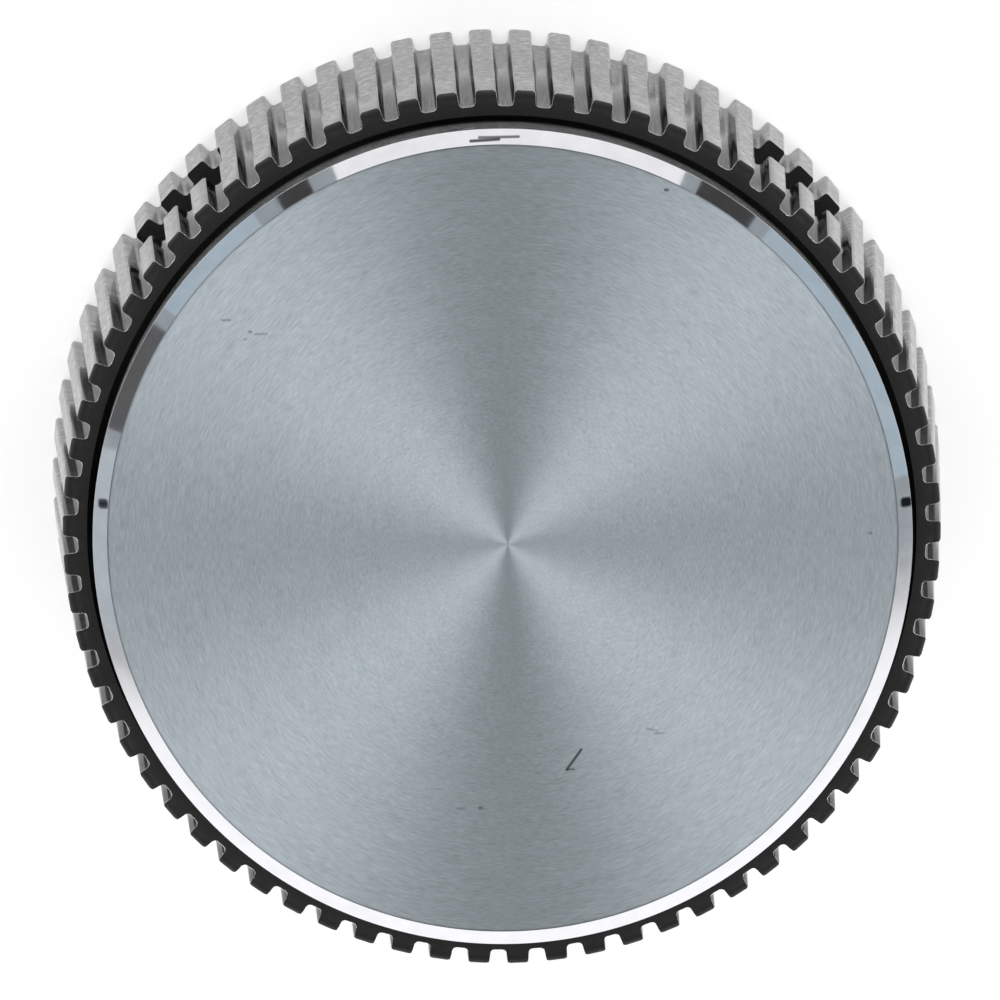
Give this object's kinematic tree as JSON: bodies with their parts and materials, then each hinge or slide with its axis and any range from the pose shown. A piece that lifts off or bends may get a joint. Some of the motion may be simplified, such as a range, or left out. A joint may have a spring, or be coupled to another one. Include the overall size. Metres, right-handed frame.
{
  "type": "control knob",
  "caption": "Round push-on control knob with a fluted, slightly flared metal rim, a raised spun-metal face cap with a polished bevel, and a plastic hub with a split boss for a round shaft.",
  "frame": {"origin": "centre of the rear rim, in the plane that faces the panel", "axes": "+Z along the shaft towards the face, +Y midway between two of the rim's windows"},
  "size_m": [0.0378, 0.0378, 0.0271],
  "materials": {
    "rim_metal": "bare cut flutes, matt black front land and window walls",
    "cap_metal": "spun face, polished bevel and side",
    "hub_plastic": "moulded black",
    "spring_steel": "drawn wire"
  },
  "bodies": {
    "root": {"fluted_rim": "rim_metal", "face_cap": "cap_metal", "hub_core": "hub_plastic", "boss_spring_ring": "spring_steel"}
  },
  "joints": []
}
